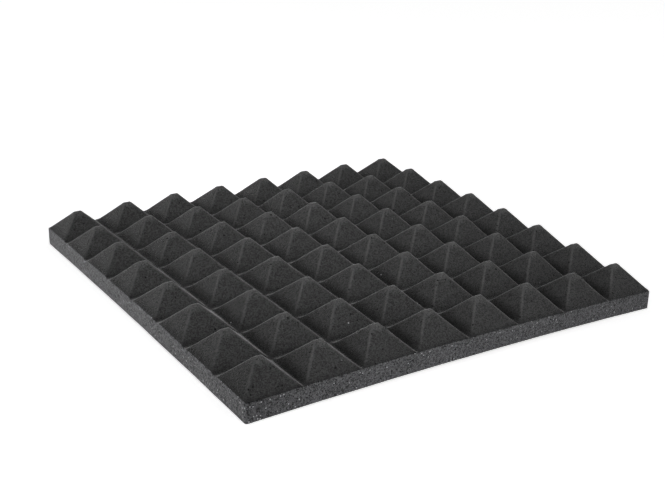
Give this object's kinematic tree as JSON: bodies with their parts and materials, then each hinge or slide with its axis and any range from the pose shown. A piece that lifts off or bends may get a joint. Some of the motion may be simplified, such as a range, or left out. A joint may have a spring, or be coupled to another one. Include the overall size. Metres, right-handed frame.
{
  "type": "acoustic foam panel",
  "caption": "Square sound-absorbing foam panel: a flat-backed slab whose face is cut into a grid of square pyramids with rounded tips, made from one piece of soft open-cell foam.",
  "frame": {"origin": "centre of the flat back face, which lies on the wall or on the floor", "axes": "+Z out of the back face towards the pyramid tips, +X and +Y square to the panel's edges"},
  "size_m": [0.5, 0.5, 0.045],
  "materials": {
    "foam": "matte dark charcoal open-cell foam, finely porous all over"
  },
  "bodies": {
    "root": {"foam_panel": "foam"}
  },
  "joints": []
}
